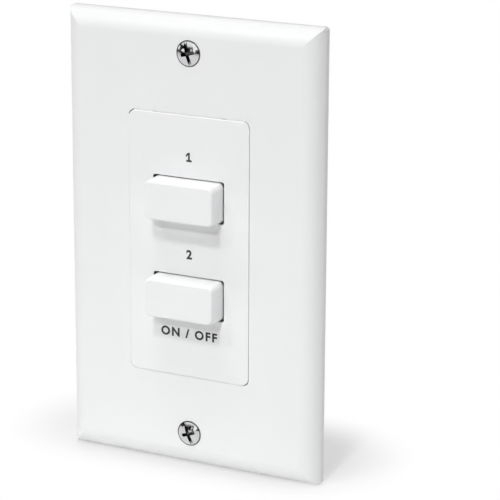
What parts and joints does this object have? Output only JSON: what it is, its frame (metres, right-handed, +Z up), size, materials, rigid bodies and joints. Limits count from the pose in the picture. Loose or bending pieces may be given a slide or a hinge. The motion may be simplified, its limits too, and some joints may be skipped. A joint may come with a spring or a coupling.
{
  "type": "speaker selector switch",
  "caption": "Wall-plate speaker selector with latching push buttons, a steel mounting strap and screw terminals on its circuit board.",
  "frame": {"origin": "on the wall plane, at the centre of the wall plate's back rim", "axes": "+Z up along the plate's long side, +X to the right as seen from the front, +Y into the wall; the buttons face -Y"},
  "size_m": [0.0698, 0.0379, 0.1142],
  "materials": {
    "plate_plastic": "semi-gloss white thermoplastic with a very fine texture",
    "insert_plastic": "semi-gloss white thermoplastic",
    "button_plastic": "smooth white thermoplastic",
    "bright_screw": "bright nickel plate",
    "zinc_screw": "bright zinc plate",
    "strap_steel": "zinc-plated steel sheet",
    "retainer_fibre": "red-brown vulcanised fibre",
    "spacer_brass": "turned brass",
    "board_laminate": "green solder mask on glass laminate",
    "block_plastic": "green nylon",
    "terminal_metal": "nickel-plated steel",
    "tin_contact": "tinned copper alloy",
    "bronze_contact": "phosphor bronze",
    "plunger_plastic": "natural acetal",
    "switch_plastic": "black glass-filled nylon",
    "switch_base_plastic": "brown phenolic",
    "spring_steel": "bright spring steel"
  },
  "bodies": {
    "switch_plate": {"wall_plate": "plate_plastic", "plate_screws": "bright_screw", "insert": "insert_plastic", "insert_screws": "zinc_screw", "mounting_strap": "strap_steel", "box_screws": "zinc_screw", "screw_retainers": "retainer_fibre", "board_spacers": "spacer_brass", "spacer_screws": "zinc_screw", "circuit_board": "board_laminate", "board_screws": "zinc_screw", "terminal_screws": "terminal_metal", "wire_clamps": "terminal_metal", "terminal_pins": "tin_contact", "upper_terminal_block": "block_plastic", "middle_terminal_block": "block_plastic", "lower_terminal_block": "block_plastic", "upper_return_spring": "spring_steel", "upper_switch_housing": "switch_plastic", "upper_switch_base": "switch_base_plastic", "upper_latch_clip": "spring_steel", "upper_contact_blades": "tin_contact", "lower_return_spring": "spring_steel", "lower_switch_housing": "switch_plastic", "lower_switch_base": "switch_base_plastic", "lower_latch_clip": "spring_steel", "lower_contact_blades": "tin_contact"},
    "upper_push": {"upper_button": "button_plastic", "upper_plunger": "plunger_plastic", "upper_contact_bridges": "bronze_contact"},
    "upper_latch": {"upper_latch_pin": "spring_steel"},
    "lower_push": {"lower_button": "button_plastic", "lower_plunger": "plunger_plastic", "lower_contact_bridges": "bronze_contact"},
    "lower_latch": {"lower_latch_pin": "spring_steel"}
  },
  "joints": [
    {"name": "upper_button_press", "type": "slide", "parent": "switch_plate", "child": "upper_push", "axis": [0, 1, 0], "range_m": [0, 0.003], "stiffness_N_per_m": 300, "springref_m": -0.004, "deforming": ["upper_return_spring"]},
    {"name": "lower_button_press", "type": "slide", "parent": "switch_plate", "child": "lower_push", "axis": [0, 1, 0], "range_m": [0, 0.003], "stiffness_N_per_m": 300, "springref_m": -0.004, "deforming": ["lower_return_spring"]},
    {"name": "upper_latch_swing", "type": "hinge", "parent": "switch_plate", "child": "upper_latch", "pos_m": [0, 0.0127, 0.0124], "axis": [0, 0, 1], "range_deg": [0, 15.2]},
    {"name": "lower_latch_swing", "type": "hinge", "parent": "switch_plate", "child": "lower_latch", "pos_m": [0, 0.0127, -0.0124], "axis": [0, 0, 1], "range_deg": [0, 15.2]}
  ],
  "couplings": [
    {"joint": "upper_latch_swing", "follows": "upper_button_press", "rad_per_m": 87.8},
    {"joint": "lower_latch_swing", "follows": "lower_button_press", "rad_per_m": 87.8}
  ]
}
